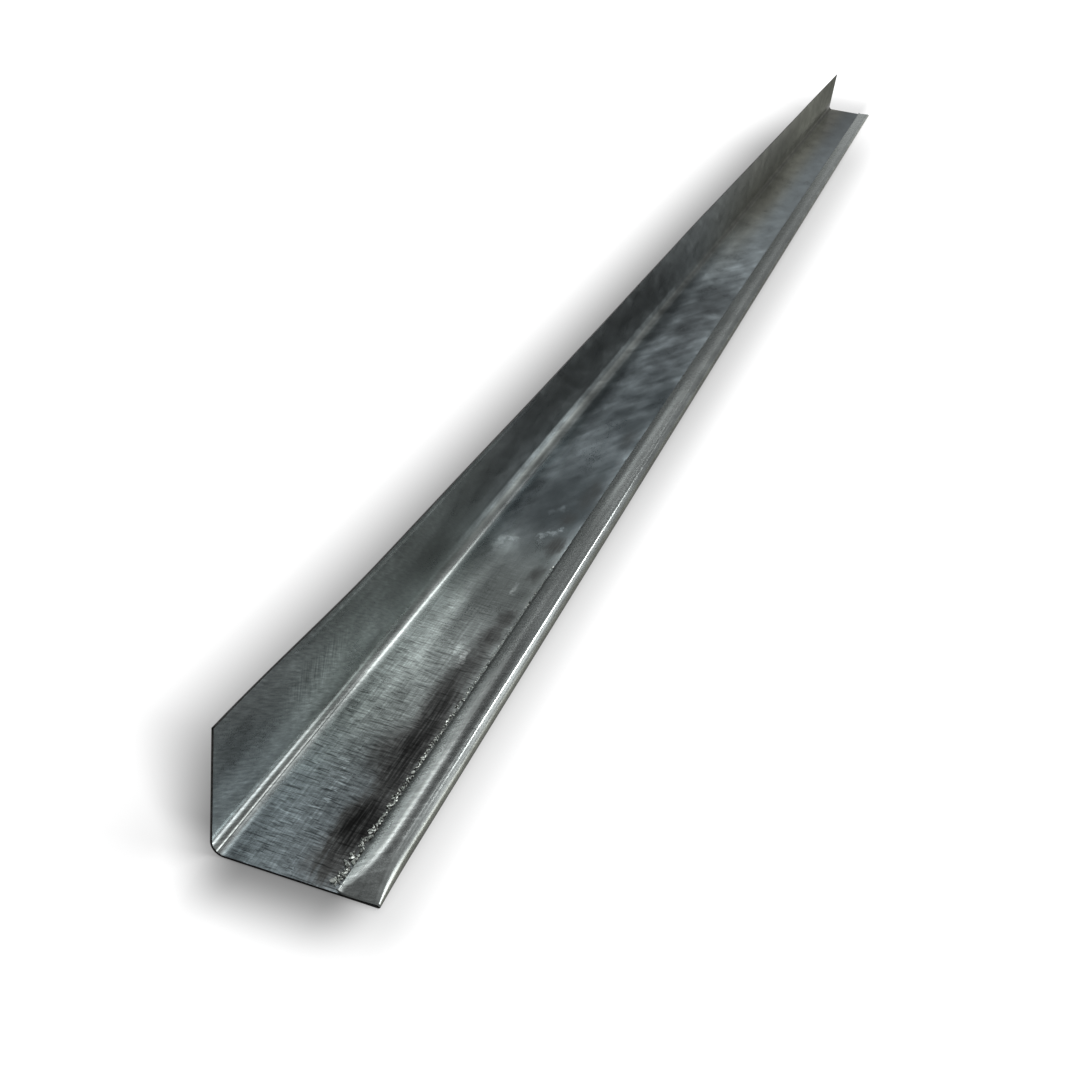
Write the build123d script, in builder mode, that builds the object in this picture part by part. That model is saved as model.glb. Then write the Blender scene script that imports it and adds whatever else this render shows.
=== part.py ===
from build123d import *

import os
from math import atan, degrees, radians, sin

os.makedirs("parts", exist_ok=True)

# Cold-formed sheet steel angle: a plain upright leg, and a lying leg whose free edge is hemmed.
# Millimetres. +Z is up, +Y runs along the length, +X runs across the lying leg to its hem.
# The origin is at mid-length, halfway across the lying leg, on its underside.

LENGTH = 900.0
LYING_LEG = 30.0
PLAIN_LEG = 25.0
SHEET = 0.4
BEND_RADIUS = 2.5

# The hem is the edge of the lying leg turned back over its upper face. It stands open along
# the length, and the shear that cut the stock has pressed it shut at both ends. The fall is how
# far the flap drops from the top of the fold to its edge, and the gap is what stays below that.
HEM_REACH = 7.5
OPEN_FALL = 1.4
OPEN_GAP = 0.2
SHUT_FALL = 0.1
SHUT_GAP = 0.1
SHUT_LENGTH = 18.0
SHUT_STEPS = 5

LEFT = -LYING_LEG / 2
RIGHT = LYING_LEG / 2
NEAR = -LENGTH / 2
SEAM = RIGHT - HEM_REACH - 1.0
OPEN_LENGTH = LENGTH - 2 * SHUT_LENGTH


def at(y):
    """Drawing plane across the length at y, with its x along +X and its y up."""
    return Plane(origin=(0, y, 0), x_dir=(1, 0, 0), z_dir=(0, -1, 0))


def hem_face(share):
    """Hem and the web under it, from pressed shut at share 0 to fully open at share 1."""
    fall = SHUT_FALL + share * (OPEN_FALL - SHUT_FALL)
    gap = SHUT_GAP + share * (OPEN_GAP - SHUT_GAP)
    radius = SHEET + (fall + gap) / 2
    # The flap is one slow arc from the top of the fold down to its edge.
    run = HEM_REACH - radius
    closing = 2 * degrees(atan(fall / run))
    flap_radius = run / sin(radians(closing))
    fold = (RIGHT - radius, radius)
    flap = (RIGHT - radius, 2 * radius - flap_radius)
    with BuildSketch() as section:
        with BuildLine():
            under = Line((SEAM, 0), (RIGHT - radius, 0))
            CenterArc(fold, radius, -90, 180)
            flap_top = CenterArc(flap, flap_radius, 90, closing)
            flap_below = CenterArc(flap, flap_radius - SHEET, 90, closing)
            Line(flap_top @ 1, flap_below @ 1)
            CenterArc(fold, radius - SHEET, -90, 180)
            web_top = Line((RIGHT - radius, SHEET), (SEAM, SHEET))
            Line(web_top @ 1, under @ 0)
        make_face()
    return section.sketch


def opening(step):
    """Share by which the hem has opened at one step in from the cut, quick at first."""
    left = 1 - step / SHUT_STEPS
    return 1 - left**3


# Both ends of the hem, each lofted from pressed shut at the cut to open inside.
with BuildPart() as pressed_ends:
    for step in range(SHUT_STEPS + 1):
        with BuildSketch(at(NEAR + SHUT_LENGTH * step / SHUT_STEPS)):
            add(hem_face(opening(step)))
    loft()
    mirror(about=Plane.XZ)

# The whole angle, one folded sheet.
with BuildPart() as angle_section:
    # Both legs and the bend between them, as far as the strip that carries the hem.
    with BuildSketch(at(NEAR)):
        with BuildLine():
            outer = FilletPolyline((LEFT, PLAIN_LEG), (LEFT, 0), (SEAM, 0), radius=BEND_RADIUS)
            offset(outer, amount=SHEET, side=Side.LEFT)
        make_face()
    extrude(amount=-LENGTH)

    # The hem standing open between its pressed ends.
    with BuildSketch(at(NEAR + SHUT_LENGTH)):
        add(hem_face(1))
    extrude(amount=-OPEN_LENGTH)
    add(pressed_ends.part)

angle_section.part.label = "angle_section"
export_step(angle_section.part, "parts/angle_section.step")
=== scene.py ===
"""A galvanised steel angle section on a pale studio floor.

The section is made the way the real one is: a flat blank of sheet gets its cut edges, is marked
by the rolls, and is then folded into the plain leg, the bend, the web and the hem.

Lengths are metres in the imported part's frame. Two distances place everything on the sheet:
run, along the part from its near end, and girth, across the sheet's outer face from the plain
leg's free edge, down the leg, round the bend, over the web and round the fold to the flap.
"""

from __future__ import annotations

import logging
import math
import random
from abc import ABC, abstractmethod
from dataclasses import dataclass
from enum import Enum
from typing import Any, Mapping, Optional, Sequence, Union

import bmesh
import bpy
from mathutils import Matrix, Vector, noise

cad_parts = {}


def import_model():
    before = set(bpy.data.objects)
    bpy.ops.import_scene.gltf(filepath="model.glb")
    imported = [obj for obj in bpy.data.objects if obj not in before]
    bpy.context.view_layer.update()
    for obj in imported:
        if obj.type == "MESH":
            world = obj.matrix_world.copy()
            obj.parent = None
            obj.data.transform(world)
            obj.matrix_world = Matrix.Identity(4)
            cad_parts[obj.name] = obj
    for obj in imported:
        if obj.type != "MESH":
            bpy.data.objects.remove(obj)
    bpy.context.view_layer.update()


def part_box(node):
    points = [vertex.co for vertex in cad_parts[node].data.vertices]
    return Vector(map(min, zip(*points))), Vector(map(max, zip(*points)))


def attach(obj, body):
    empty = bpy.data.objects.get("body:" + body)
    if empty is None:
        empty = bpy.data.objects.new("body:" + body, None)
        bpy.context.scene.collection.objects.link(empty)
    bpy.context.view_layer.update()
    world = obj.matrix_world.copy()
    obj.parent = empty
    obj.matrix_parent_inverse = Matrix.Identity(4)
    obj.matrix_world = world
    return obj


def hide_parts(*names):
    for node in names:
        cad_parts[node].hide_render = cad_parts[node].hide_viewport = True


LOG = logging.getLogger("angle_section")
MM = 0.001
Socket = bpy.types.NodeSocket
Place = tuple[float, float, float]
Colour = tuple[float, float, float]
BLACK: Colour = (0.0, 0.0, 0.0)
WHITE: Colour = (1.0, 1.0, 1.0)


def ease(value: float, start: float, stop: float) -> float:
    """Smooth step of value from start to stop.

    Args:
        value: The number to place between the two.
        start: Where the step leaves 0.
        stop: Where it reaches 1.

    Returns:
        0 before start, 1 after stop, and an eased share between.
    """
    share = min(max((value - start) / (stop - start), 0.0), 1.0)
    return share * share * (3 - 2 * share)


def steps(start: float, stop: float, count: int) -> list[float]:
    """Evenly spaced places after start, the last of them at stop."""
    return [start + (stop - start) * (k + 1) / count for k in range(count)]


def as_object(bm: bmesh.types.BMesh, name: str) -> bpy.types.Object:
    """Turns a finished bmesh into an object of the scene.

    Args:
        bm: The mesh, which is freed.
        name: Name of the object and its mesh.

    Returns:
        The object, at the origin.
    """
    mesh = bpy.data.meshes.new(name)
    bm.to_mesh(mesh)
    bm.free()
    made = bpy.data.objects.new(name, mesh)
    bpy.context.scene.collection.objects.link(made)
    return made


# --- The folded shape ---


@dataclass(frozen=True)
class Section:
    """The folded shape: where a point of the blank ends up once the sheet is bent."""

    low: Vector
    high: Vector
    sheet: float = 0.4 * MM
    bend_radius: float = 2.5 * MM
    hem_reach: float = 7.5 * MM
    open_radius: float = 1.2 * MM
    open_gap: float = 0.2 * MM
    crest_set_in: float = 0.6 * MM
    shut_radius: float = 0.5 * MM
    shut_gap: float = 0.1 * MM
    shut_length: float = 18.0 * MM
    crest_slope: float = 0.06
    ridge_from_edge: float = 2.8 * MM
    ridge_at_cut: float = 0.2 * MM
    ridge_start: float = 1.5 * MM
    ridge_sweep: float = 4.0 * MM
    ridge_wander: float = 0.12 * MM
    ridge_wander_pitch: float = 22 * MM
    ridge_round: float = 0.7 * MM
    ridge_widening: float = 0.6
    ridge_widens: tuple[float, float] = (8 * MM, 60 * MM)
    bow: float = 1.2 * MM
    bow_starts: float = 60 * MM
    bow_eases: tuple[float, float] = (150 * MM, 400 * MM)
    bow_lost: float = 0.75
    sway: float = 0.12 * MM
    sway_pitch: float = 70 * MM

    @property
    def length(self) -> float:
        """Length of the part."""
        return self.high.y - self.low.y

    @property
    def bend_start(self) -> float:
        """Girth at which the plain leg ends and the bend begins."""
        return self.high.z - self.low.z - self.bend_radius

    @property
    def web_start(self) -> float:
        """Girth at which the bend ends and the web begins."""
        return self.bend_start + self.bend_radius * math.pi / 2

    @property
    def heel(self) -> float:
        """Girth that the sharp corner under the bend would have, measured back from the web."""
        return self.web_start - self.bend_radius

    @property
    def fold_start(self) -> float:
        """Girth at which the open hem's fold begins."""
        return self.heel + self.high.x - self.low.x - self.open_radius

    @property
    def crest(self) -> float:
        """Girth at the top of the open hem's fold, past its round and then its flatter quarter."""
        _, width = self.fold_size(self.length / 2)
        flatter = math.hypot(self.open_radius, width) / math.sqrt(2)
        return self.fold_start + (self.open_radius + flatter) * math.pi / 2

    @property
    def flap_end(self) -> float:
        """Girth at the flap's cut edge."""
        return self.crest + self.hem_reach - self.open_radius - self.crest_set_in

    def from_end(self, run: float) -> float:
        """Distance of a run from the nearer cut end."""
        return max(0.0, min(run, self.length - run))

    def opened(self, run: float) -> float:
        """Share by which the hem stands open at a run."""
        left = 1 - min(self.from_end(run) / self.shut_length, 1.0)
        return 1 - left**3

    def fold_size(self, run: float) -> tuple[float, float]:
        """Size of the fold at one place along the part.

        Args:
            run: Distance along the part.

        Returns:
            Half the fold's height, and how far its crest stands in from the edge.
        """
        share = self.opened(run)
        radius = self.shut_radius + share * (self.open_radius - self.shut_radius)
        return radius, radius + share * self.crest_set_in

    def lean(self, run: float) -> float:
        """How far the plain leg's free edge leans in.

        Args:
            run: Distance along the part.

        Returns:
            The distance at the free edge.
        """
        settled = ease(run, 0.0, self.bow_starts)
        easing = 1 - self.bow_lost * ease(run, *self.bow_eases)
        sway = noise.noise(Vector((run / self.sway_pitch, 3.1, 0.0)))
        return self.bow * settled * easing + self.sway * (1 + sway) * settled

    def upright(self, girth: float, run: float) -> tuple[Vector, Vector]:
        """A point on the plain leg or the bend.

        Args:
            girth: Distance across the sheet.
            run: Distance along the part.

        Returns:
            The point across the section, and the direction into the sheet there.
        """
        bend, low, high = self.bend_radius, self.low, self.high
        if girth <= self.bend_start:
            place = Vector((low.x, 0.0, high.z - girth))
            inward = Vector((1.0, 0.0, 0.0))
        else:
            angle = (girth - self.bend_start) / bend
            inward = Vector((math.cos(angle), 0.0, math.sin(angle)))
            place = Vector((low.x + bend, 0.0, low.z + bend)) - bend * inward
        above = max(place.z - low.z - bend, 0.0) / (high.z - low.z - bend)
        place.x += self.lean(run) * above
        return place, inward

    def lying(self, girth: float, run: float) -> tuple[Vector, Vector]:
        """A point on the web or the fold.

        Args:
            girth: Distance across the sheet.
            run: Distance along the part.

        Returns:
            The point across the section, and the direction into the sheet there.
        """
        bend, low, high = self.bend_radius, self.low, self.high
        radius, width = self.fold_size(run)
        side = self.fold_start + self.open_radius * math.pi / 2
        if girth <= self.fold_start:
            share = (girth - self.web_start) / (self.fold_start - self.web_start)
            web = high.x - radius - low.x - bend
            return Vector((low.x + bend + share * web, 0.0, low.z)), Vector((0.0, 0.0, 1.0))
        if girth <= side:
            angle = math.pi / 2 * (girth - self.fold_start) / (side - self.fold_start)
            inward = Vector((-math.sin(angle), 0.0, math.cos(angle)))
            return Vector((high.x - radius, 0.0, low.z + radius)) - radius * inward, inward
        angle = math.pi / 2 * (girth - side) / (self.crest - side)
        reached = Vector((width * math.cos(angle), 0.0, radius * math.sin(angle)))
        inward = -Vector((reached.x / width**2, 0.0, reached.z / radius**2)).normalized()
        return Vector((high.x - width, 0.0, low.z + radius)) + reached, inward

    def flap(self, girth: float, run: float) -> tuple[Vector, Vector]:
        """A point on the flap, past the fold's crest.

        Args:
            girth: Distance across the sheet.
            run: Distance along the part.

        Returns:
            The point across the section, and the direction into the sheet there.
        """
        radius, width = self.fold_size(run)
        gap = self.shut_gap + self.opened(run) * (self.open_gap - self.shut_gap)
        reach = self.hem_reach - width
        swept = 1 - math.exp(-max(self.from_end(run) - self.ridge_start, 0.0) / self.ridge_sweep)
        wander = self.ridge_wander * noise.noise(Vector((run / self.ridge_wander_pitch, 7.7, 0.0)))
        ridge = reach - (self.ridge_from_edge + wander) * swept - self.ridge_at_cut
        # Two straight runs meet at the ridge, and a hyperbola rounds the change between them.
        edge_height = 2 * self.sheet + gap
        ridge_height = 2 * radius - self.crest_slope * ridge
        turn = (ridge_height - edge_height) / (reach - ridge) - self.crest_slope
        widened = self.ridge_widening * ease(self.from_end(run), *self.ridge_widens)
        rounding = self.ridge_round * (1 + widened)
        gone = (girth - self.crest) / (self.flap_end - self.crest) * reach
        past = math.hypot(gone - ridge, rounding)
        height = 2 * radius - self.crest_slope * gone - turn * (past + gone - ridge) / 2
        slope = self.crest_slope + turn * ((gone - ridge) / past / 2 + 0.5)
        inward = Vector((slope, 0.0, -1.0)).normalized()
        return Vector((self.high.x - width - gone, 0.0, self.low.z + height)), inward

    def across(self, girth: float, run: float) -> tuple[Vector, Vector]:
        """A point on the folded sheet's outer face.

        Args:
            girth: Distance across the sheet.
            run: Distance along the part.

        Returns:
            The point across the section, and the direction into the sheet there.
        """
        if girth <= self.web_start:
            return self.upright(girth, run)
        if girth <= self.crest:
            return self.lying(girth, run)
        return self.flap(girth, run)

    def fold(self, flat: Vector) -> Vector:
        """Folds one point of the blank.

        Args:
            flat: The point as girth, run and depth into the sheet.

        Returns:
            The point in the part's frame.
        """
        girth = min(max(flat.x, 0.0), self.flap_end)
        run = min(max(flat.y, 0.0), self.length)
        place, inward = self.across(girth, run)
        place += inward * flat.z
        place.y = self.low.y + flat.y
        return place


class Side(Enum):
    """The three kinds of surface that the sheet has."""

    INNER = 0
    OUTER = 1
    CUT = 2


@dataclass(frozen=True)
class AngleSheet:
    """The angle itself, from flat blank to folded sheet."""

    section: Section
    name: str = "angle_section_sheet"
    column_counts: tuple[int, ...] = (14, 14, 20, 20, 18)
    row_bands: tuple[tuple[float, float], ...] = ((60, 0.6), (180, 1.5), (880, 4.0), (900, 1.0))
    edge_round: float = 0.05 * MM
    facing: float = 0.99
    outer_map: float = 100 * MM
    cut_map: float = 200 * MM

    def columns(self) -> list[float]:
        """Girths of the blank's grid lines.

        Returns:
            The girths from the plain leg's free edge to the flap's edge.
        """
        shape = self.section
        # The plain leg, the bend, the web, the fold and the flap.
        stops = (shape.bend_start, shape.web_start, shape.fold_start, shape.crest, shape.flap_end)
        girths = [0.0]
        for stop, count in zip(stops, self.column_counts):
            girths += steps(girths[-1], stop, count)
        return girths

    def rows(self) -> list[float]:
        """Runs of the blank's grid lines.

        Returns:
            The runs from the near end to the far end, closest together where the hem changes.
        """
        runs = [0.0]
        for stop_mm, pitch_mm in self.row_bands:
            start, stop = runs[-1], min(stop_mm * MM, self.section.length)
            runs += steps(start, stop, max(1, round((stop - start) / (pitch_mm * MM))))
        return runs

    def blank(self) -> bmesh.types.BMesh:
        """Cuts the flat blank.

        Returns:
            A closed sheet with girth along X, run along Y and depth along Z.
        """
        girths, runs = self.columns(), self.rows()
        across, along = len(girths) - 1, len(runs) - 1
        bm = bmesh.new()
        bmesh.ops.create_grid(bm, x_segments=across, y_segments=along, size=1.0)
        for vert in bm.verts:
            column = round((vert.co.x + 1) / 2 * across)
            row = round((vert.co.y + 1) / 2 * along)
            vert.co = Vector((girths[column], runs[row], 0.0))
        raised = bmesh.ops.extrude_face_region(bm, geom=bm.faces[:], use_keep_orig=True)
        lifted = [item for item in raised["geom"] if isinstance(item, bmesh.types.BMVert)]
        bmesh.ops.translate(bm, verts=lifted, vec=(0.0, 0.0, self.section.sheet))
        bmesh.ops.recalc_face_normals(bm, faces=bm.faces[:])
        cut_corners = [edge for edge in bm.edges if self.is_corner(edge)]
        bmesh.ops.bevel(
            bm,
            geom=cut_corners,
            offset=self.edge_round,
            offset_type="OFFSET",
            segments=2,
            profile=0.5,
            affect="EDGES",
            material=-1,
        )
        return bm

    @staticmethod
    def is_corner(edge: bmesh.types.BMEdge) -> bool:
        """Whether an edge of the blank is one of its cut corners."""
        first, second = (abs(face.normal.z) for face in edge.link_faces)
        return abs(first - second) > 0.5

    def side_of(self, face: bmesh.types.BMFace) -> Side:
        """Which kind of surface a face of the flat blank is."""
        if abs(face.normal.z) < self.facing:
            return Side.CUT
        return Side.INNER if face.normal.z > 0 else Side.OUTER

    def build(self) -> bpy.types.Object:
        """Makes the folded sheet.

        Returns:
            The finished mesh object, with a map of girth and run in metres.
        """
        bm = self.blank()
        sheet_map = bm.loops.layers.uv.new("Sheet")
        offsets = {Side.INNER: 0.0, Side.OUTER: self.outer_map, Side.CUT: self.cut_map}
        for face in bm.faces:
            side = self.side_of(face)
            face.material_index = side.value
            face.smooth = True
            for loop in face.loops:
                flat = loop.vert.co
                loop[sheet_map].uv = (flat.x + offsets[side] + flat.z, flat.y)
        for edge in bm.edges:
            first, second = edge.link_faces
            edge.smooth = first.material_index == second.material_index
        for vert in bm.verts:
            vert.co = self.section.fold(vert.co)
        return as_object(bm, self.name)

    def dress(self, piece: bpy.types.Object) -> None:
        """Gives the sheet its three finishes, in the order of Side.

        Args:
            piece: The folded sheet.
        """
        piece.data.materials.append(InnerFinish(self.section).material())
        piece.data.materials.append(OuterFinish(self.section, self.outer_map).material())
        piece.data.materials.append(CutFinish(self.section.high.y).material())


@dataclass(frozen=True)
class FlapBurr:
    """Ragged zinc along the flap's cut edge, torn up when the hem was closed."""

    section: Section
    name: str = "flap_edge_burr"
    seed: int = 11
    start: float = 1.6 * MM
    reach: float = 120 * MM
    pitch: float = 0.25 * MM
    size: float = 0.34 * MM
    spread: float = 0.8 * MM
    set_in: float = 0.3 * MM
    sunk: float = 0.35
    coarse_reach: float = 13 * MM
    coarse_size: float = 1.3
    coarse_spread: float = 1.25 * MM
    shrinks: tuple[float, float] = (14 * MM, 90 * MM)
    shrinks_by: float = 0.55
    thins: tuple[float, float] = (50 * MM, 110 * MM)
    thins_by: float = 0.9

    def crumb(self, bm: bmesh.types.BMesh, dice: random.Random, run: float) -> None:
        """Adds one crumb.

        Args:
            bm: The mesh to add to.
            dice: The source of its chances.
            run: Distance along the part.
        """
        place, _ = self.section.across(self.section.flap_end, run)
        coarse = run < self.coarse_reach
        shrunk = 1 - self.shrinks_by * ease(run, *self.shrinks)
        size = self.size * shrunk * dice.uniform(0.45, 1.3) * (self.coarse_size if coarse else 1.0)
        spread = self.coarse_spread if coarse else self.spread * shrunk
        x = place.x - self.set_in - dice.uniform(0.0, spread)
        z = self.section.low.z + self.section.sheet + self.sunk * size
        at = Matrix.Translation((x, self.section.low.y + run, z))
        stretch = Vector((dice.uniform(0.35, 0.9), dice.uniform(0.6, 2.4), 0.75)) * size
        turn = Matrix.Rotation(dice.uniform(-1.2, 1.2), 4, "Z")
        made = bmesh.ops.create_icosphere(bm, subdivisions=1, radius=1.0)["verts"]
        for vert in made:
            vert.co *= dice.uniform(0.55, 1.25)
        bmesh.ops.transform(bm, matrix=at @ turn @ Matrix.Diagonal((*stretch, 1.0)), verts=made)

    def build(self) -> bpy.types.Object:
        """Makes the crumbs of zinc as one piece.

        Returns:
            The finished mesh object.
        """
        dice = random.Random(self.seed)
        bm = bmesh.new()
        run = self.start
        while run < self.reach:
            self.crumb(bm, dice, run)
            thinned = 1.0 + self.thins_by * ease(run, *self.thins)
            run += self.pitch * dice.uniform(0.55, 1.6) * thinned
        return as_object(bm, self.name)

    def dress(self, piece: bpy.types.Object) -> None:
        """Gives the burr its bright broken zinc."""
        piece.data.materials.append(BurrFinish().material())


# --- Shader arithmetic ---


class Signal:
    """One number that varies over a surface, as a node socket with arithmetic."""

    def __init__(self, graph: Graph, socket: Socket) -> None:
        """Wraps a socket of a graph."""
        self.graph = graph
        self.socket = socket

    def math(self, operation: str, *others: Operand) -> Signal:
        """Adds a Math node.

        Args:
            operation: The Math node's operation.
            others: The operands after this signal.

        Returns:
            The result.
        """
        made = self.graph.node("ShaderNodeMath", {"operation": operation}, (self, *others))
        return Signal(self.graph, made.outputs[0])

    def __add__(self, other: Operand) -> Signal:
        """Sum with another signal or number."""
        return self.math("ADD", other)

    __radd__ = __add__

    def __mul__(self, other: Operand) -> Signal:
        """Product with another signal or number."""
        return self.math("MULTIPLY", other)

    __rmul__ = __mul__

    def __sub__(self, other: Operand) -> Signal:
        """Difference from another signal or number."""
        return self.math("SUBTRACT", other)

    def __rsub__(self, other: float) -> Signal:
        """A number less this signal."""
        return self * -1.0 + other

    def __truediv__(self, other: Operand) -> Signal:
        """Quotient by another signal or number."""
        return self.math("DIVIDE", other)

    def __rpow__(self, base: float) -> Signal:
        """A number raised to this signal."""
        made = self.graph.node("ShaderNodeMath", {"operation": "POWER"}, (base, self))
        return Signal(self.graph, made.outputs[0])

    def most(self, other: Operand) -> Signal:
        """The larger of the two."""
        return self.math("MAXIMUM", other)

    def least(self, other: Operand) -> Signal:
        """The smaller of the two."""
        return self.math("MINIMUM", other)

    def softly_most(self, other: Signal) -> Signal:
        """The larger of the two, with a soft change from one to the other."""
        return (self * self + other * other).math("POWER", 0.5)

    def eased(self, start: float, stop: float) -> Signal:
        """Smooth step of the signal.

        Args:
            start: Value at which the result is 0.
            stop: Value at which it is 1.

        Returns:
            The eased share.
        """
        rising = stop > start
        low, high = (start, stop) if rising else (stop, start)
        made = self.graph.node(
            "ShaderNodeMapRange",
            {"interpolation_type": "SMOOTHSTEP"},
            {"Value": self, "From Min": low, "From Max": high},
        )
        share = Signal(self.graph, made.outputs["Result"])
        return share if rising else 1 - share

    def band(self, centre: float, half: float) -> Signal:
        """A soft band: 1 where the signal equals centre, and 0 past half away on both sides."""
        return (self - centre).math("ABSOLUTE").eased(half, 0)


Operand = Union[Signal, float]


class Graph:
    """A node tree being filled."""

    def __init__(self, tree: bpy.types.NodeTree) -> None:
        """Starts from an emptied tree."""
        self.tree = tree
        self.tree.nodes.clear()

    def node(
        self,
        kind: str,
        settings: Optional[Mapping[str, Any]] = None,
        inputs: Union[Mapping[str, Any], Sequence[Any], None] = None,
    ) -> bpy.types.Node:
        """Adds any node.

        Args:
            kind: The node's type.
            settings: Its own settings, set before its sockets. A ramp's stops are "stops".
            inputs: Values or links of its sockets, by name or in order.

        Returns:
            The node.
        """
        made = self.tree.nodes.new(kind)
        for key, value in (settings or {}).items():
            if key == "stops":
                self.set_stops(made.color_ramp, value)
            else:
                setattr(made, key, value)
        named = inputs.items() if isinstance(inputs, Mapping) else enumerate(inputs or ())
        for key, value in named:
            source = value.socket if isinstance(value, Signal) else value
            if isinstance(source, Socket):
                self.tree.links.new(source, made.inputs[key])
            else:
                made.inputs[key].default_value = source
        return made

    @staticmethod
    def set_stops(ramp: bpy.types.ColorRamp, stops: Sequence[tuple[float, Colour]]) -> None:
        """Sets a colour ramp's stops.

        Args:
            ramp: The ramp.
            stops: Place and colour of each stop.
        """
        while len(ramp.elements) < len(stops):
            ramp.elements.new(0.5)
        for element, (place, colour) in zip(ramp.elements, stops):
            element.position = place
            element.color = (*colour, 1.0)

    def point(self, x: Operand, y: Operand, z: Operand = 0.0) -> Socket:
        """Joins three numbers into a vector."""
        return self.node("ShaderNodeCombineXYZ", None, (x, y, z)).outputs[0]

    def pattern(
        self, x: Operand, y: Operand, layer: float, detail: float, rough: float, warp: float = 0.0
    ) -> Signal:
        """Noise over two numbers. Each layer has a pattern of its own."""
        return self.noise(self.point(x, y, layer), detail, rough, warp)

    def noise(self, place: Socket, detail: float, rough: float, warp: float = 0.0) -> Signal:
        """Soft noise with features about one unit across.

        Args:
            place: Where it is read.
            detail: Number of finer layers.
            rough: Strength of the finer layers.
            warp: How far the noise distorts itself.

        Returns:
            The noise, about 0.5 on average.
        """
        made = self.node(
            "ShaderNodeTexNoise",
            {"noise_dimensions": "3D"},
            {"Vector": place, "Scale": 1.0, "Detail": detail, "Roughness": rough, "Distortion": warp},
        )
        return Signal(self, made.outputs["Fac"])

    def mix(self, first: Any, second: Any, share: Signal) -> Socket:
        """Mixes two colours.

        Args:
            first: Colour or socket at share 0.
            second: Colour or socket at share 1.
            share: How much of the second.

        Returns:
            The mixed colour.
        """
        made = self.node("ShaderNodeMix", {"data_type": "RGBA"}, {"Factor": share})
        ends = [item for item in made.inputs if item.type == "RGBA"]
        for socket, value in zip(ends, (first, second)):
            if isinstance(value, Socket):
                self.tree.links.new(value, socket)
            else:
                socket.default_value = (*value, 1.0)
        return next(item for item in made.outputs if item.type == "RGBA")

    def distance(self, x: Operand, y: Operand) -> Signal:
        """Length of the vector that two numbers make."""
        made = self.node("ShaderNodeVectorMath", {"operation": "LENGTH"}, (self.point(x, y),))
        return Signal(self, made.outputs["Value"])

    def object_place(self) -> Socket:
        """Place on the object."""
        return self.node("ShaderNodeTexCoord").outputs["Object"]

    def split(self, vector: Socket) -> list[Signal]:
        """The three numbers of a vector."""
        made = self.node("ShaderNodeSeparateXYZ", None, (vector,))
        return [Signal(self, socket) for socket in made.outputs]

    def real_noise(self, size: float, detail: float, rough: float) -> Signal:
        """Noise on the object itself, with features of a real size in metres."""
        return self.noise(self.scaled(self.object_place(), 1 / size), detail, rough)

    def finish(self, inputs: Mapping[str, Any]) -> None:
        """Ends a material's graph in one Principled shader with these inputs."""
        surface = self.node("ShaderNodeBsdfPrincipled", None, inputs)
        self.node("ShaderNodeOutputMaterial", None, {"Surface": surface.outputs["BSDF"]})

    def scaled(self, vector: Socket, factor: Operand) -> Socket:
        """A vector made longer or shorter, or a colour made lighter or darker."""
        inputs = {"Vector": vector, "Scale": factor}
        return self.node("ShaderNodeVectorMath", {"operation": "SCALE"}, inputs).outputs["Vector"]


# --- Finishes ---


class Finish(ABC):
    """One material, which a subclass names and paints."""

    name: str

    @abstractmethod
    def paint(self, graph: Graph) -> None:
        """Fills the material's graph."""

    def material(self) -> bpy.types.Material:
        """Makes the material.

        Returns:
            The finished material.
        """
        made = bpy.data.materials.new(self.name)
        made.use_nodes = True
        self.paint(Graph(made.node_tree))
        return made


@dataclass(frozen=True)
class Mark:
    """One soft-edged mark on the sheet.

    Places are in millimetres, across from the heel and along from the near end. On the plain leg
    the distance from the heel is negative. The tone is in stops: 1 doubles the reflectance.
    """

    across: float
    along: float
    half_across: float
    half_along: float
    tone: float


@dataclass(frozen=True)
class Streak:
    """One straight line that runs along the sheet, in the same units as a mark."""

    across: float
    half_across: float
    tone: float
    appears: tuple[float, float] = (-2.0, -1.0)
    fades: tuple[float, float] = (960.0, 980.0)


class Chart:
    """The sheet laid out flat, in millimetres, for its finishes to be drawn on."""

    def __init__(self, graph: Graph, map_offset: float, origin: float) -> None:
        """Reads girth and run from the sheet's own map.

        Args:
            graph: The graph to add to.
            map_offset: How far this side's part of the map is moved across.
            origin: Girth from which the distance across is counted.
        """
        found = graph.node("ShaderNodeUVMap", {"uv_map": "Sheet"})
        girth, run, _ = graph.split(found.outputs["UV"])
        self.graph = graph
        self.girth = girth * (1 / MM) - map_offset / MM
        self.run = run * (1 / MM)
        self.across = self.girth - origin / MM

    def tones(self, marks: Sequence[Mark], aside: Operand = 0.0, ahead: Operand = 0.0) -> Signal:
        """Adds up soft marks.

        Args:
            marks: The marks.
            aside: How far they are pushed back across the sheet, which makes them ragged.
            ahead: How far they are pushed back along it.

        Returns:
            The sum of the marks' tones, where each applies.
        """
        across, run = self.across + aside, self.run + ahead
        total: Operand = 0.0
        for mark in marks:
            away = self.graph.distance(
                (across - mark.across) * (1 / mark.half_across),
                (run - mark.along) * (1 / mark.half_along),
            )
            total = away.eased(1.3, 0.2) * mark.tone + total
        return total

    def lines(self, painted_light_streaks: Sequence[Streak]) -> Signal:
        """Adds up straight lines.

        Args:
            painted_light_streaks: The lines.

        Returns:
            The sum of the lines' tones, where each shows.
        """
        total: Operand = 0.0
        for streak in painted_light_streaks:
            shown = self.run.eased(*streak.appears) * self.run.eased(*reversed(streak.fades))
            line = self.across.band(streak.across, streak.half_across) * shown
            total = line * streak.tone + total
        return total


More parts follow.
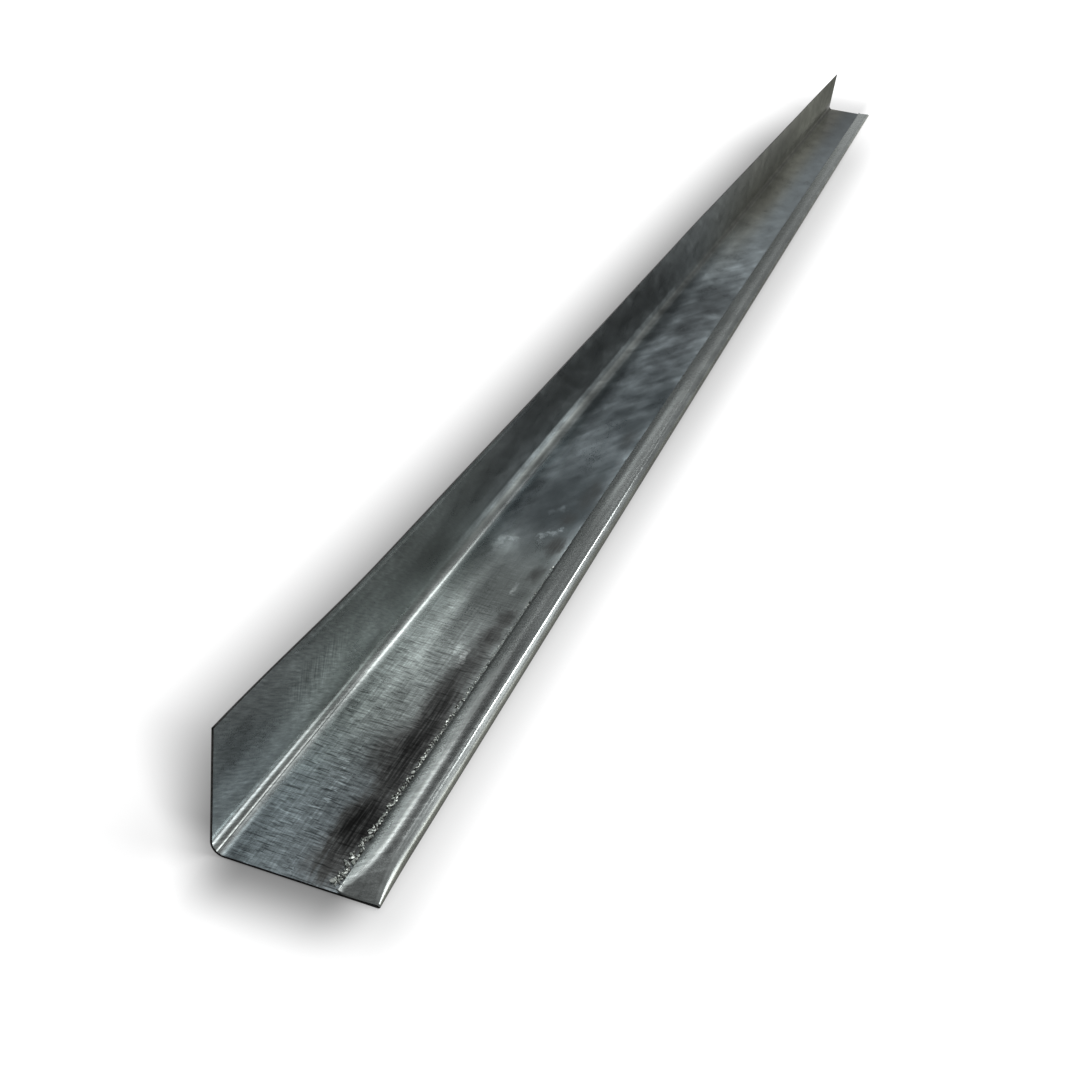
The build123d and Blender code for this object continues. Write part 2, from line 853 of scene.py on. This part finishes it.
@dataclass(frozen=True)
class ZincSurface:
    """The shader under both zinc finishes: bright metal seen through its own dull oxide."""

    metallic: float = 0.72
    grazing: float = 0.3

    def finish(
        self, graph: Graph, colour: Socket, rough: Signal, relief: Signal, bare: Operand
    ) -> None:
        """Ends a material's graph.

        Args:
            graph: The graph to end.
            colour: Reflectance.
            rough: Roughness.
            relief: Height of the fine relief, in millimetres.
            bare: Factor on the share of bare metal, 1 where the oxide is as thick as usual.
        """
        bump = graph.node("ShaderNodeBump", None, {"Strength": 1.0, "Distance": MM, "Height": relief})
        graph.finish(
            {
                "Base Color": colour,
                "Metallic": bare * self.metallic,
                "Roughness": rough,
                "Specular Tint": (self.grazing, self.grazing, self.grazing, 1.0),
                "Normal": bump.outputs["Normal"],
            }
        )


@dataclass(frozen=True)
class InnerFinish(Finish):
    """Zinc on the faces inside the angle: the plain leg, the bend and the web."""

    section: Section
    name: str = "zinc_inside"
    surface: ZincSurface = ZincSurface()
    base: float = 0.27
    deepest: float = 0.04
    web_tint: Colour = (0.87, 1.0, 1.05)
    leg_tint: Colour = (0.91, 1.0, 1.01)
    flap_side_dark_tint: Colour = (0.97, 1.0, 0.98)
    bend_tint: Colour = (0.93, 1.0, 0.97)
    far_tint: Colour = (0.98, 1.0, 0.87)
    painted_reflection_tint: Colour = (0.90, 1.0, 0.975)
    # Dark marks on the web along the flap's side.
    flap_side_dark_marks: tuple[Mark, ...] = (
        Mark(19.4, 16, 4, 8.4, -4.1),
        Mark(17.4, 16.5, 2.8, 8.4, -0.6),
        Mark(19, 5.5, 4.2, 5.5, -1.9),
        Mark(20.2, 31, 3.6, 12, -2.5),
        Mark(18.8, 37, 3.8, 10, -1.1),
        Mark(19.6, 48, 3.6, 13, -2.6),
        Mark(17.2, 60, 2.4, 10, -0.9),
        Mark(15.4, 38, 3.2, 9, -1.3),
        Mark(19, 67, 3.2, 19, -1.3),
        Mark(19.8, 84, 2.4, 5, -1.3),
        Mark(20.2, 92, 2.2, 4.5, -1.2),
        Mark(20.2, 114, 2, 5, -0.9),
        Mark(19.9, 130, 2.2, 6, -1.5),
        Mark(18.8, 146, 2.4, 4.5, -1),
        Mark(20, 163, 2.6, 12, -0.8),
        Mark(19.6, 205, 2.2, 9, -0.6),
    )
    # Small lighter patches of painted highlight, and one darker patch on the plain leg by the near cut.
    painted_light_patches: tuple[Mark, ...] = (
        Mark(8.2, 93, 2.4, 6, 0.6),
        Mark(7, 125, 1.2, 5, 0.9),
        Mark(9.2, 128.6, 1.9, 1.6, 0.8),
        Mark(15.4, 133, 1, 3, 1.4),
        Mark(17.2, 136.4, 1.7, 1.6, 1.4),
        Mark(18.8, 139.2, 1, 1.3, 1.8),
        Mark(13.8, 147.6, 1.2, 1.8, 1.1),
        Mark(15.8, 150.4, 1.6, 1.8, 1),
        Mark(17, 73, 0.9, 5, 1.5),
        Mark(15.2, 76, 1.4, 3, 0.8),
        Mark(17.6, 105.5, 0.7, 3, 1),
        Mark(-8, 58, 3.5, 7, 0.5),
        Mark(-15.5, 7, 4.5, 7, -0.5),
    )
    # Broad lighter and darker stretches of the web and the plain leg: painted reflection and painted
    # shade.
    painted_reflection_washes: tuple[Mark, ...] = (
        Mark(6.6, 74, 4.4, 38, 1.25),
        Mark(3, 86, 2.6, 26, 0.6),
        Mark(13.5, 26, 5, 20, -0.6),
        Mark(19.5, 72, 4, 26, -0.8),
        Mark(17, 107, 11, 25, -1.6),
        Mark(15.2, 156, 12, 31, -3),
        Mark(20.2, 180, 3.6, 100, -0.7),
        Mark(16, 232, 13, 60, -1.9),
        Mark(14, 334, 13, 66, -1.5),
        Mark(5, 560, 8, 100, -0.5),
        Mark(4.4, 2, 1.6, 12, -0.6),
        Mark(2.6, 160, 2, 70, -0.5),
        Mark(5.4, 160, 3.4, 34, 0.7),
        Mark(4.4, 345, 3.6, 60, -0.6),
        Mark(14, 850, 14, 160, -0.7),
        Mark(-7, 26, 6, 36, 0.3),
        Mark(-10, 42, 6, 14, 0.3),
        Mark(-9, 82, 7, 32, -0.7),
        Mark(-8, 245, 6, 70, 0.5),
        Mark(-7, 165, 4, 60, 0.5),
        Mark(-16, 232, 14, 110, -1.2),
        Mark(-12, 320, 10, 90, -0.5),
        Mark(-14, 650, 12, 100, -0.6),
        Mark(-21, 905, 17, 175, -0.8),
    )
    # Painted highlights and painted dark reflection bands along the bend, a thin dark crease line among
    # them, and a painted highlight by the plain leg's free edge.
    painted_light_streaks: tuple[Streak, ...] = (
        Streak(-0.3, 0.85, 2.8, fades=(30, 82)),
        Streak(-1.1, 1.6, 2.1, fades=(6, 48)),
        Streak(0.95, 0.4, -0.9, fades=(22, 36)),
        Streak(2.65, 1, 0.6, (26, 40), (150, 200)),
        Streak(2.7, 0.8, 0.4, fades=(26, 44)),
        Streak(3.3, 1.5, 0.3, (60, 100), (170, 230)),
        Streak(-1.5, 1.3, 0.4, (50, 90), (180, 240)),
        Streak(1.2, 0.28, 0.9, fades=(36, 56)),
        Streak(0.5, 0.35, 0.8, (26, 36), (56, 74)),
        Streak(-1, 0.6, 0.6, (26, 36), (66, 90)),
        Streak(1.5, 0.24, -1.6, fades=(48, 66)),
        Streak(1.8, 0.45, -1.5, fades=(2, 9)),
        Streak(2.5, 0.7, 1.5, fades=(10, 17)),
        Streak(1.6, 0.9, 0.8, (30, 60), (90, 170)),
        Streak(2.3, 0.9, 0.7, (18, 44), (110, 190)),
        Streak(1.3, 1.7, -1.4, (260, 440)),
        Streak(-22.2, 0.9, 0.9, (16, 44), (90, 190)),
    )
    ticked: tuple[Mark, ...] = (Mark(10.8, 25, 2.6, 17, 1.3),)
    combed: tuple[Mark, ...] = (Mark(-13, 37, 5.5, 15, 2.4),)
    # The broad painted highlight along the bend: where it lies across, and its tone in stops.
    painted_sheen_across: tuple[float, float] = (-1.6, 2.9)
    painted_sheen_tone: float = 1.7

    def painted_sheen(self, chart: Chart) -> Signal:
        """Share of the broad painted highlight along the bend.

        Args:
            chart: The sheet, across from the heel.

        Returns:
            The share.
        """
        centre, half = self.painted_sheen_across
        wide = (chart.across - centre).math("ABSOLUTE").eased(half, half - 1.6)
        fading = chart.run.eased(245, 180) * 0.42 + chart.run.eased(440, 230) * 0.52
        return wide * chart.run.eased(80, 175) * fading

    def tint(self, chart: Chart, flap_side_dark: Signal) -> Socket:
        """Hue of the zinc, at full brightness.

        Args:
            chart: The sheet, across from the heel.
            flap_side_dark: Tone of the dark marks along the flap's side.

        Returns:
            The colour.
        """
        graph, across, run = chart.graph, chart.across, chart.run
        # The near stretch takes the greener hue of the painted reflection there.
        painted_reflection = run.eased(14, 50) * run.eased(150, 105)
        far = run.eased(360, 560) * across.eased(18, 7)
        tint = graph.mix(self.leg_tint, self.web_tint, across.eased(1, 4))
        tint = graph.mix(tint, self.painted_reflection_tint, painted_reflection)
        tint = graph.mix(tint, self.bend_tint, across.band(0.6, 3))
        tint = graph.mix(tint, self.flap_side_dark_tint, (flap_side_dark * -0.5).least(1.0))
        return graph.mix(tint, self.far_tint, far)

    def dark_marks_and_painted_light(self, chart: Chart, lines: Signal) -> tuple[Signal, Signal]:
        """Dark marks along the flap's side, and painted light: small patches of painted highlight and
        broad washes of painted reflection and painted shade.

        Args:
            chart: The sheet, across from the heel.
            lines: The drawn lines, which the dark marks follow.

        Returns:
            The tone of the dark marks, and that of the painted patches and washes.
        """
        graph, across, run = chart.graph, chart.across, chart.run
        rag = graph.pattern(across * 0.8, run * 0.45, 4, 4, 0.7) - 0.5
        rag_along = graph.pattern(across * 0.8, run * 0.45, 9, 4, 0.7) - 0.5
        drawn = graph.pattern(across * 1.1, run * 0.16, 14, 3, 0.6) - 0.5
        drift = graph.pattern(across * 0.1, run * 0.04, 15, 1, 0.5) - 0.5
        flap_side_dark = chart.tones(self.flap_side_dark_marks, rag * 1.6 + drawn * 2.6, drawn * 8 + rag_along * 4)
        painted_patch = chart.tones(self.painted_light_patches, rag * 4.4, rag_along * 9)
        painted_wash = chart.tones(self.painted_reflection_washes, drift * 4, drift * 16)
        return flap_side_dark * (lines.eased(0.3, 0.66) * 0.9 + 0.5), painted_patch + painted_wash

    def paint(self, graph: Graph) -> None:
        """Fills the material's graph.

        Args:
            graph: The empty graph.
        """
        chart = Chart(graph, 0.0, self.section.heel)
        girth, across, run = chart.girth, chart.across, chart.run
        web = across.eased(1, 4)
        near = run.eased(140, 50)
        middle = run.eased(90, 160) * run.eased(540, 300)
        # Chatter across the web, drawing lines along it, rubbing at a slant and cloud over all.
        slant = run + across * 0.04
        chatter = graph.pattern(across * 0.28, slant * 1.7, 1, 4, 0.65, 0.6)
        ticks = graph.pattern(across * 0.35, slant * 2.2, 2, 1, 0.5, 0.6)
        bright_ticks = graph.pattern(across * 0.3, slant * 1.5, 12, 2, 0.6, 0.5)
        lines = graph.pattern(across * 2.2, run * 0.1, 3, 3, 0.65)
        cloud = graph.pattern(across * 0.12, run * 0.05, 5, 4, 0.62)
        slanting = (run - girth * 2.4) * 0.11
        rubbed = graph.pattern(slanting, girth * 0.11 + run * 0.012, 7, 2, 0.45, 0.5)
        grain = graph.pattern(across * 3.5, run * 3.5, 6, 2, 0.5)
        steeper = (girth * 1.6 - run) * 1.3
        brushed = graph.pattern(steeper, (girth + run * 1.6) * 0.12, 8, 4, 0.65)
        comb = graph.pattern(girth * 0.15, run * 2, 13, 1, 0.5)
        web_tone = (
            (chatter - 0.5) * (near * 3.8 + 0.3)
            - ticks.eased(0.56, 0.68) * near * 1.1
            + bright_ticks.eased(0.52, 0.64) * chart.tones(self.ticked)
            + (lines - 0.5) * (near * 2.0 + 0.4)
            + (cloud - 0.5) * (middle * 2.0 + 1.2)
            + (rubbed - 0.5) * (middle * 2.3 + 0.25)
        )
        # On the plain leg: brushing, combing, cloud and rubbing, and a quarter stop less overall, which
        # is painted shade on the leg.
        leg_tone = (
            (brushed - 0.5) * (near * 2.6 + 0.6)
            + (comb - 0.5) * chart.tones(self.combed)
            + (cloud - 0.5) * 1.8
            + (rubbed - 0.5) * (middle * 1.8 + 0.5)
            - 0.25
        )
        # Dark marks by the flap, and tones of painted highlight and painted reflection.
        flap_side_dark, painted_reflection = self.dark_marks_and_painted_light(chart, lines)
        # Painted highlights along the bend: a broad painted sheen, and streaks of painted highlight and
        # painted dark reflection with a thin dark crease line among them, and a painted highlight by
        # the plain leg's free edge.
        painted_sheen = self.painted_sheen(chart)
        painted_streaks = chart.lines(self.painted_light_streaks)
        tone = web_tone * web + leg_tone * (1 - web) + painted_reflection + flap_side_dark + painted_streaks
        tone = tone + painted_sheen * self.painted_sheen_tone + (grain - 0.5) * 0.8
        # Past about 140 mm the colour never gets darker than a floor, so the dark marks and the painted
        # shade there don't hide the metal's grain.
        value = ((2**tone) * self.base).softly_most(run.eased(70, 140) * self.deepest)
        colour = graph.scaled(self.tint(chart, flap_side_dark), value)
        # The metal is barer at the plain leg's far tip and on the web's dark stretch.
        tip = run.eased(560, 820) * across.eased(-1, -9)
        bare = tip * 0.35 + web * run.eased(80, 130) * run.eased(330, 240) * 0.26 + 1
        rough = 0.3 - flap_side_dark * 0.05 - painted_streaks * 0.08 + painted_sheen * 0.3
        rough = rough + (cloud - 0.5) * 0.12 + (grain - 0.5) * 0.1 + tip * 0.5
        relief = chatter * web * 0.012 + lines * web * 0.004 + brushed * (1 - web) * 0.008
        relief = relief * (run.eased(480, 220) * 0.75 + 0.25)
        self.surface.finish(graph, colour, rough.least(0.85).most(0.15), relief, bare)


@dataclass(frozen=True)
class OuterFinish(Finish):
    """Zinc on the outer faces: the back, the underside, the fold and the flap."""

    section: Section
    map_offset: float
    name: str = "zinc_outside"
    surface: ZincSurface = ZincSurface()
    base: float = 0.27
    tint: Colour = (0.93, 1.0, 0.98)
    fold_tint: Colour = (0.96, 1.0, 0.88)

    def paint(self, graph: Graph) -> None:
        """Fills the material's graph.

        Args:
            graph: The empty graph.
        """
        shape = self.section
        chart = Chart(graph, self.map_offset, shape.crest)
        girth, past, run = chart.girth, chart.across, chart.run
        flap = past.eased(-0.6, 0.4)
        flap_end = (shape.flap_end - shape.crest) / MM
        # Where the ridge of the flap runs, from its edge at the cut out to its place inside.
        sweep = (run - shape.ridge_start / MM).most(0.0) * (-MM / shape.ridge_sweep)
        ridge = (1 - math.e**sweep) * (-shape.ridge_from_edge / MM) + flap_end - shape.ridge_at_cut / MM
        past_ridge = past - ridge
        slant = run + past * 0.5
        chatter = graph.pattern(past * 0.45, slant * 1.3, 1.5, 2, 0.6, 0.3)
        lines = graph.pattern(girth * 2.6, run * 0.08, 3.5, 3, 0.6)
        cloud = graph.pattern(girth * 0.12, run * 0.05, 5.5, 4, 0.6)
        grain = graph.pattern(girth * 3.5, run * 3.5, 6.5, 2, 0.5)
        near = run.eased(110, 25)
        crown = past_ridge.eased(-0.9, -0.1) * past_ridge.eased(2.2, 0.5)
        trough = past.eased(0.1, 0.6) * past_ridge.eased(-0.3, -0.8)
        slope = past_ridge.eased(0, 0.8)
        brim = (past - flap_end).eased(-0.9, -0.3)
        # Besides chatter, lines, cloud and grain, these bands are painted light: painted highlights on
        # the ridge, on the fold's crest and side and on the flap's slope, painted shade on the ridge's
        # outer side and in the trough, and painted shade along the flap's brim. The far stretch is
        # lighter, and the faces past the fold are darker.
        tone = (
            (chatter - 0.5) * flap * (near * 1.6 + 0.5)
            + (lines - 0.5) * 0.8
            + (cloud - 0.5) * (1 - flap) * 1.2
            + (grain - 0.5) * 0.8
            + crown * run.eased(46, 18) * 0.5
            + past.band(-0.3, 0.85) * run.eased(14, 60) * run.eased(200, 130) * 0.7
            + past.band(-1.28, 0.4) * run.eased(10, 20) * run.eased(110, 50) * 0.8
            + past_ridge.band(0.2, 1.6) * run.eased(130, 180) * run.eased(300, 205) * 1.3
            + past_ridge.band(1.4, 1.6) * run.eased(0, 4) * run.eased(76, 46) * 0.95
            - past_ridge.band(-1.5, 1) * run.eased(7, 11) * run.eased(95, 66) * 1.2
            - past_ridge.band(-0.4, 1.1) * run.eased(34, 52) * run.eased(100, 76)
            + slope * run.eased(75, 50) * 0.3
            + slope * run.eased(130, 230) * 0.2
            - brim * run.eased(6, 12) * run.eased(180, 110) * 0.9
            + run.eased(420, 860) * 1.1
            - trough * run.eased(200, 120) * (run.eased(80, 50) * 0.4 + 0.35)
            - past.eased(-1.5, -2) * 0.8
        )
        fold = past.eased(-0.8, -1.6)
        colour = graph.scaled(graph.mix(self.tint, self.fold_tint, fold), (2.0**tone) * self.base)
        rough = 0.27 + (cloud - 0.5) * 0.12 + (grain - 0.5) * 0.1 - past.band(-0.2, 1) * 0.08
        rough = rough + crown * run.eased(90, 50) * 0.04
        relief = chatter * flap * 0.01 + lines * 0.004
        self.surface.finish(graph, colour, rough.least(0.6).most(0.15), relief, 1.0)


@dataclass(frozen=True)
class CutFinish(Finish):
    """Sheared steel on the cut edges, darkened to near black as painted shade on the thin cut faces,
    with zinc dragged over the hem's ends.
    """

    half_length: float
    name: str = "cut_steel"
    clean: Colour = (0.03, 0.03, 0.03)
    dull: Colour = (0.012, 0.011, 0.010)
    dragged: Colour = (0.17, 0.185, 0.18)

    def paint(self, graph: Graph) -> None:
        """Fills the material's graph.

        Args:
            graph: The empty graph.
        """
        shear = graph.real_noise(0.6 * MM, 3, 0.6)
        x, y, z = graph.split(graph.object_place())
        end = (y.math("ABSOLUTE") - self.half_length).eased(-0.4 * MM, -0.1 * MM)
        hem = x.eased(5 * MM, 7 * MM) * z.eased(0.40 * MM, 0.52 * MM)
        steel = graph.mix(self.dull, self.clean, shear.eased(0.35, 0.7))
        graph.finish(
            {
                "Base Color": graph.mix(steel, self.dragged, end * hem),
                "Metallic": 1.0,
                "Roughness": shear * 0.3 + 0.35,
            }
        )


@dataclass(frozen=True)
class BurrFinish(Finish):
    """Bright broken zinc."""

    name: str = "broken_zinc"
    bright: Colour = (0.58, 0.62, 0.58)
    dull: Colour = (0.05, 0.05, 0.045)

    def paint(self, graph: Graph) -> None:
        """Fills the material's graph.

        Args:
            graph: The empty graph.
        """
        crumb = graph.real_noise(0.5 * MM, 2, 0.5)
        graph.finish(
            {
                "Base Color": graph.mix(self.dull, self.bright, crumb.eased(0.35, 0.55)),
                "Metallic": 0.5,
                "Roughness": crumb * 0.25 + 0.15,
            }
        )


@dataclass(frozen=True)
class FloorFinish(Finish):
    """Pale floor, with a soft shade round the part, wider and deeper on the plain leg's side."""

    part_half: tuple[float, float]
    name: str = "pale_floor"
    colour: Colour = (0.40, 0.40, 0.40)
    lift: tuple[float, float] = (0.71, 0.95)
    lift_reach: tuple[float, float] = (0.12, 1.1)
    shade_ends: tuple[float, float] = (17.5 * MM, 150 * MM)
    shade_left: tuple[float, float, float] = (8 * MM, 36 * MM, 62 * MM)
    shade_right: tuple[float, float] = (11 * MM, 32 * MM)
    corner: tuple[float, float] = (7 * MM, 6 * MM)
    corner_starts: tuple[float, float] = (8 * MM, -2 * MM)
    near_end: tuple[float, float] = (-8 * MM, 30 * MM)
    depth_left: tuple[float, float] = (0.745, 0.905)
    depth_right: tuple[float, float] = (0.27, 0.42)

    def shade(self, x: Signal, y: Signal) -> Signal:
        """The soft shade round the part.

        Args:
            x: Place across the part.
            y: Place along the part.

        Returns:
            The share of the floor's light that is missing.
        """
        half_width, half_length = self.part_half
        along = y.eased(-half_length, half_length * 0.6)
        inside = (y + half_length).eased(*self.near_end)
        corner = (y + half_length).eased(*self.corner_starts)
        # How far the shade reaches on each side, and the floor's distance as a share of that.
        left_cut, left_near, left_far = self.shade_left
        right_near, right_far = self.shade_right
        near_end, far_end = self.shade_ends
        set_in, widening = self.corner
        left_reach = inside * (left_near - left_cut) + along * (left_far - left_near) + left_cut
        left = (corner * set_in - x - half_width).most(0.0) / (left_reach + corner * widening)
        right = (x - half_width).most(0.0) / (along * (right_far - right_near) + right_near)
        ends = (-1.0 * y - half_length).most(0.0) * (1 / near_end)
        ends = ends + (y - half_length).most(0.0) * (1 / far_end)
        away = x.graph.distance(left + right, ends)
        # How deep it is on each side.
        at_cut, beside = self.depth_left
        near, far = self.depth_right
        light = near + y.eased(-half_length, -half_length * 0.4) * (far - near)
        deep = (at_cut - inside * (at_cut - beside)) * (1 - along * 0.17)
        right_side = x.eased(half_width * 0.4, half_width * 1.1)
        depth = deep + right_side * (light - deep)
        depth = depth * (1 - y.eased(half_length * 0.5, half_length) * (right_side * 0.25 + 0.5))
        return away.eased(1, 0) * depth

    def paint(self, graph: Graph) -> None:
        """Fills the material's graph. The floor gives light only to what looks at it.

        Args:
            graph: The empty graph.
        """
        paths = graph.node("ShaderNodeLightPath").outputs
        seen = Signal(graph, paths["Is Camera Ray"]) + Signal(graph, paths["Is Glossy Ray"])
        seen = (seen + Signal(graph, paths["Is Transmission Ray"])).least(1.0)
        x, y, _ = graph.split(graph.object_place())
        half_width, half_length = self.part_half
        beside = (x.math("ABSOLUTE") - half_width).most(0.0)
        beyond = (y.math("ABSOLUTE") - half_length).most(0.0)
        away = graph.distance(beside, beyond)
        close, far = self.lift
        lit = 1 - self.shade(x, y)
        lift = seen * (away.eased(*self.lift_reach) * (far - close) + close) * lit
        graph.finish(
            {
                "Base Color": graph.mix(BLACK, self.colour, lit),
                "Roughness": 0.9,
                "Specular IOR Level": 0.0,
                "Emission Color": graph.mix(BLACK, WHITE, lift),
                "Emission Strength": 1.0,
            }
        )


# --- Studio ---


@dataclass(frozen=True)
class Lamp:
    """One soft rectangular lamp."""

    name: str
    place: Place
    aim: Place
    wide: float
    high: float
    watts: float

    def build(self) -> None:
        """Hangs the lamp."""
        light = bpy.data.lights.new(self.name, "AREA")
        light.shape = "RECTANGLE"
        light.size, light.size_y = self.wide, self.high
        light.energy = self.watts
        lamp = bpy.data.objects.new(self.name, light)
        lamp.location = self.place
        towards = Vector(self.aim) - Vector(self.place)
        lamp.rotation_euler = towards.to_track_quat("-Z", "Y").to_euler()
        bpy.context.scene.collection.objects.link(lamp)


@dataclass(frozen=True)
class Studio:
    """Floor, lamps, surroundings and camera."""

    part_half: tuple[float, float]
    floor_half: float = 12.0
    lamps: tuple[Lamp, ...] = (
        Lamp("right", (1.45, 0.62, 1.85), (0.0, -0.1, 0.0), 1.8, 1.5, 50.0),
        Lamp("left", (-0.560, 0.300, 0.570), (0.01, -0.43, 0.0), 0.38, 0.22, 1.9),
        Lamp("strip", (0.243, 0.71, 0.756), (0.0, -0.37, 0.0), 0.34, 0.2, 0.55),
        Lamp("back", (-0.15, 0.85, 0.80), (0.0, -0.35, 0.0), 0.14, 0.30, 2.4),
    )
    camera_place: Place = (0.06843, -0.59881, 0.15103)
    camera_aim: Place = (0.0, -0.3181, 0.0)
    camera_roll: float = 8.08
    lens: float = 44.4

    def build_floor(self) -> None:
        """Lays the pale floor."""
        bm = bmesh.new()
        bmesh.ops.create_grid(bm, x_segments=1, y_segments=1, size=self.floor_half)
        floor = as_object(bm, "floor")
        floor.data.materials.append(FloorFinish(self.part_half).material())

    def build_surroundings(self) -> None:
        """Sets the studio's soft grey surroundings, pale near the horizon."""
        world = bpy.data.worlds.new("studio")
        bpy.context.scene.world = world
        world.use_nodes = True
        graph = Graph(world.node_tree)
        _, _, height = graph.split(graph.node("ShaderNodeTexCoord").outputs["Generated"])
        ramp = graph.node(
            "ShaderNodeValToRGB",
            {
                "stops": (
                    (0.0, (0.30, 0.30, 0.30)),
                    (0.15, (0.18, 0.18, 0.18)),
                    (0.20, (0.48, 0.48, 0.48)),
                    (0.26, (0.48, 0.48, 0.48)),
                    (0.32, (0.16, 0.16, 0.17)),
                    (0.50, (0.16, 0.16, 0.17)),
                    (0.60, (0.46, 0.47, 0.48)),
                    (0.84, (0.40, 0.40, 0.40)),
                )
            },
            (height,),
        )
        shade = graph.node("ShaderNodeBackground", None, {"Color": ramp.outputs["Color"]})
        graph.node("ShaderNodeOutputWorld", None, {"Surface": shade.outputs["Background"]})

    def build_camera(self) -> None:
        """Sets up the camera."""
        data = bpy.data.cameras.new("camera")
        data.lens = self.lens
        data.clip_start, data.clip_end = 0.01, 60.0
        camera = bpy.data.objects.new("camera", data)
        camera.location = self.camera_place
        towards = Vector(self.camera_aim) - Vector(self.camera_place)
        level = towards.to_track_quat("-Z", "Y").to_matrix()
        roll = Matrix.Rotation(math.radians(self.camera_roll), 3, "Z")
        camera.rotation_euler = (level @ roll).to_euler()
        bpy.context.scene.collection.objects.link(camera)
        bpy.context.scene.camera = camera

    def build(self) -> None:
        """Builds the whole studio."""
        self.build_floor()
        self.build_surroundings()
        for lamp in self.lamps:
            lamp.build()
        self.build_camera()
        bpy.context.scene.view_settings.view_transform = "Standard"


def main() -> None:
    """Builds the part and the studio."""
    logging.basicConfig(level=logging.INFO, format="%(message)s")
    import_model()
    section = Section(*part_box("angle_section"))
    for maker in (AngleSheet(section), FlapBurr(section)):
        piece = maker.build()
        maker.dress(piece)
        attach(piece, "root")
        if isinstance(maker, AngleSheet):
            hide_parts("angle_section")
        LOG.info("%s: %d faces", piece.name, len(piece.data.polygons))
    Studio((section.high.x, section.high.y)).build()


if __name__ == "__main__":
    main()
